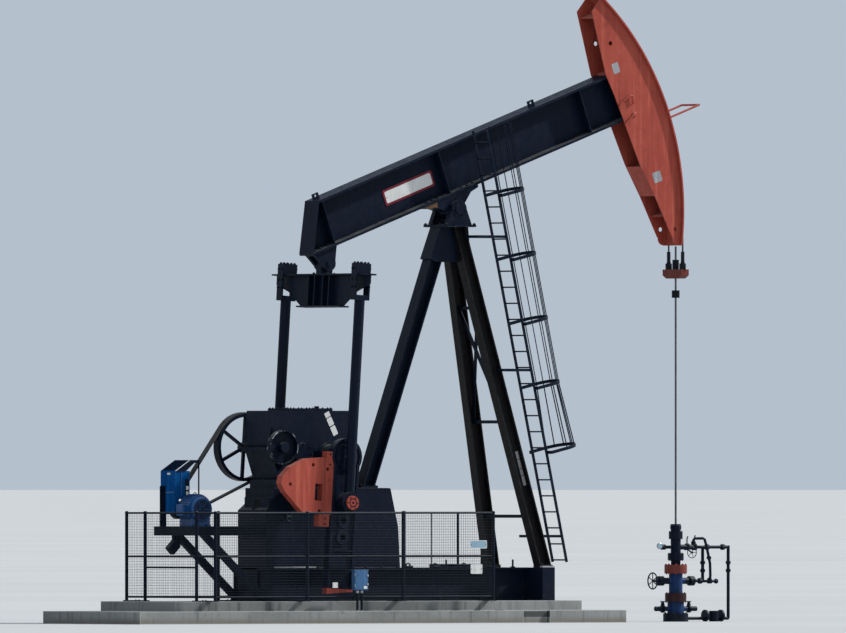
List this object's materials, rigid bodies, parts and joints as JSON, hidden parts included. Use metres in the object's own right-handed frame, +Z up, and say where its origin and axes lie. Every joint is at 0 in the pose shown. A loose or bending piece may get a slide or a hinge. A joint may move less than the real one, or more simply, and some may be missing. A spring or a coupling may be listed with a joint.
{
  "type": "pumpjack",
  "caption": "Beam pumping unit with horsehead, cranks and counterweights on a concrete base, its caged ladder, guard fence and wellhead.",
  "frame": {"origin": "on the ground under the centre bearing, on the underside of the concrete base, in the machine's centre plane", "axes": "+X along the beam towards the well, +Y towards the side with the drive sheave, +Z up"},
  "size_m": [14.4663, 3.14, 11.6723],
  "materials": {
    "machine_paint": "weathered gloss enamel, near-black navy",
    "red_paint": "faded red-orange enamel",
    "blue_paint": "mid-blue enamel",
    "concrete": "weathered cast concrete",
    "bare_steel": "greased steel",
    "belt_rubber": "matt black rubber"
  },
  "bodies": {
    "root": {"foundation_slab": "concrete", "foundation_plinth": "concrete", "skid_beams": "machine_paint", "skid_cross_members": "machine_paint", "reducer_pedestal": "machine_paint", "gearbox_housing": "machine_paint", "gearbox_cover": "machine_paint", "rear_leg": "machine_paint", "front_leg_near": "machine_paint", "front_leg_far": "machine_paint", "leg_bracing": "machine_paint", "post_head": "machine_paint", "ladder": "machine_paint", "cage_hoops": "machine_paint", "cage_bars": "machine_paint", "motor_frame": "machine_paint", "motor": "blue_paint", "belt_guard": "blue_paint", "drive_belts": "belt_rubber", "fence_near": "machine_paint", "fence_far": "machine_paint", "fence_end": "machine_paint", "junction_box": "blue_paint", "casing_head": "blue_paint", "tubing_head": "blue_paint", "stuffing_box": "machine_paint", "flow_piping": "machine_paint"},
    "beam": {"walking_beam": "machine_paint", "saddle": "machine_paint", "tail_bracket": "machine_paint", "horsehead_cheek_near": "red_paint", "horsehead_cheek_far": "red_paint", "horsehead_face": "red_paint", "horsehead_frame": "red_paint", "head_guard": "machine_paint", "bridle_wrapped": "bare_steel"},
    "pitmans": {"equalizer": "machine_paint", "pitman_near": "machine_paint", "pitman_far": "machine_paint", "wrist_pins": "red_paint"},
    "cranks": {"crankshaft": "bare_steel", "crank_near": "machine_paint", "crank_far": "machine_paint", "counterweight_near": "red_paint", "counterweight_far": "red_paint"},
    "carrier": {"carrier_bar": "red_paint", "polished_rod": "bare_steel", "bridle_wires": "bare_steel"},
    "sheave_shaft": {"sheave": "machine_paint", "brake_drum": "machine_paint"},
    "motor_shaft": {"motor_pulley": "machine_paint"},
    "handwheel": {"valve_handwheel": "machine_paint"}
  },
  "joints": [
    {"name": "beam_rock", "type": "hinge", "parent": "root", "child": "beam", "pos_m": [0, 0, 7.66], "axis": [0, 1, 0], "range_deg": [0, 33.05]},
    {"name": "pitman_swing", "type": "hinge", "parent": "beam", "child": "pitmans", "pos_m": [-2.83581, 0, 6.63904], "axis": [0, 1, 0], "range_deg": [-35.6, 0]},
    {"name": "crank_turn", "type": "hinge", "parent": "root", "child": "cranks", "pos_m": [-3.07019, 0, 3.07274], "axis": [0, 1, 0], "range_deg": [0, 178]},
    {"name": "rod_stroke", "type": "slide", "parent": "root", "child": "carrier", "axis": [0, 0, 1], "range_m": [-2.982, 0], "deforming": ["bridle_wires"]},
    {"name": "sheave_spin", "type": "hinge", "parent": "root", "child": "sheave_shaft", "pos_m": [-4.15619, 0, 3.24274], "axis": [0, 1, 0], "continuous": true},
    {"name": "motor_spin", "type": "hinge", "parent": "root", "child": "motor_shaft", "pos_m": [-5.62, 0, 2.1], "axis": [0, 1, 0], "continuous": true},
    {"name": "handwheel_turn", "type": "hinge", "parent": "root", "child": "handwheel", "pos_m": [4.6363, 0, 0.76], "axis": [1, 0, 0], "continuous": true}
  ],
  "couplings": [
    {"joint": "pitman_swing", "follows": "beam_rock", "ratio": -1.069},
    {"joint": "crank_turn", "follows": "beam_rock", "ratio": 5.3768},
    {"joint": "rod_stroke", "follows": "beam_rock", "m_per_rad": -5.1663},
    {"joint": "motor_spin", "follows": "sheave_spin", "ratio": 4.1667}
  ]
}
